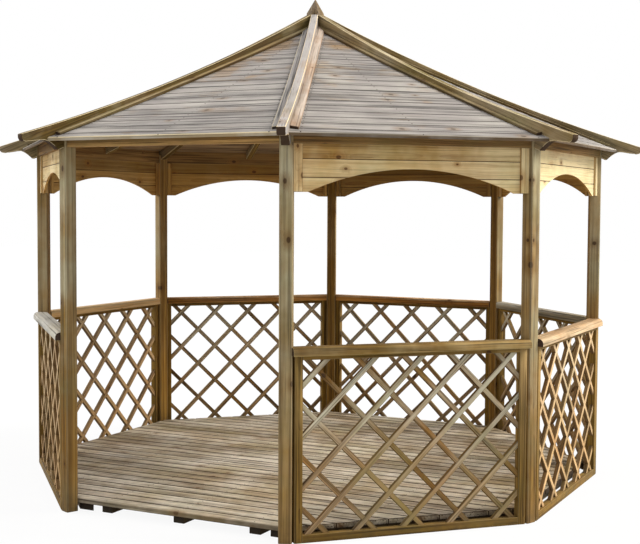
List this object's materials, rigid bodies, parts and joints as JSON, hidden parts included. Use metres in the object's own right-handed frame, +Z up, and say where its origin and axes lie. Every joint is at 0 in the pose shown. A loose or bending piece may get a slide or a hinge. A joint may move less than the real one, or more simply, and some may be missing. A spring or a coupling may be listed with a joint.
{
  "type": "octagonal garden gazebo",
  "caption": "Octagonal open timber garden gazebo with a swept boarded roof, scrolled hip rafters, lattice side panels, arched valances, handrails and a plank deck.",
  "frame": {"origin": "on the ground at the gazebo's centre line, under the deck", "axes": "+Z up, -Y out through the open entrance, +X to the right of someone facing +Y into the entrance"},
  "size_m": [3.8772, 3.8772, 3.052],
  "materials": {
    "post_timber": "weathered sawn timber",
    "rafter_timber": "weathered sawn timber",
    "roof_boards": "weathered sawn timber",
    "lattice_timber": "weathered sawn timber",
    "valance_timber": "weathered sawn timber",
    "rail_timber": "weathered sawn timber",
    "plate_timber": "weathered sawn timber",
    "fillet_timber": "weathered sawn timber",
    "deck_boards": "weathered sawn timber",
    "deck_bearer_timber": "weathered sawn timber"
  },
  "bodies": {
    "root": {"post_front_right": "post_timber", "post_right_front": "post_timber", "post_right_back": "post_timber", "post_back_right": "post_timber", "post_back_left": "post_timber", "post_left_back": "post_timber", "post_left_front": "post_timber", "post_front_left": "post_timber", "hip_rafter_front_right": "rafter_timber", "hip_rafter_right_front": "rafter_timber", "hip_rafter_right_back": "rafter_timber", "hip_rafter_back_right": "rafter_timber", "hip_rafter_back_left": "rafter_timber", "hip_rafter_left_back": "rafter_timber", "hip_rafter_left_front": "rafter_timber", "hip_rafter_front_left": "rafter_timber", "roof_panel_front": "roof_boards", "roof_panel_front_right": "roof_boards", "roof_panel_right": "roof_boards", "roof_panel_back_right": "roof_boards", "roof_panel_back": "roof_boards", "roof_panel_back_left": "roof_boards", "roof_panel_left": "roof_boards", "roof_panel_front_left": "roof_boards", "lattice_panel_front_right": "lattice_timber", "lattice_panel_right": "lattice_timber", "lattice_panel_back_right": "lattice_timber", "lattice_panel_back": "lattice_timber", "lattice_panel_back_left": "lattice_timber", "lattice_panel_left": "lattice_timber", "lattice_panel_front_left": "lattice_timber", "valance_front_right": "valance_timber", "valance_right": "valance_timber", "valance_back_right": "valance_timber", "valance_back": "valance_timber", "valance_back_left": "valance_timber", "valance_left": "valance_timber", "valance_front_left": "valance_timber", "handrails": "rail_timber", "eaves_plates": "plate_timber", "middle_rafters": "rafter_timber", "hip_fillets": "fillet_timber", "crown_block": "rafter_timber", "deck": "deck_boards", "deck_bearers": "deck_bearer_timber"}
  },
  "joints": []
}
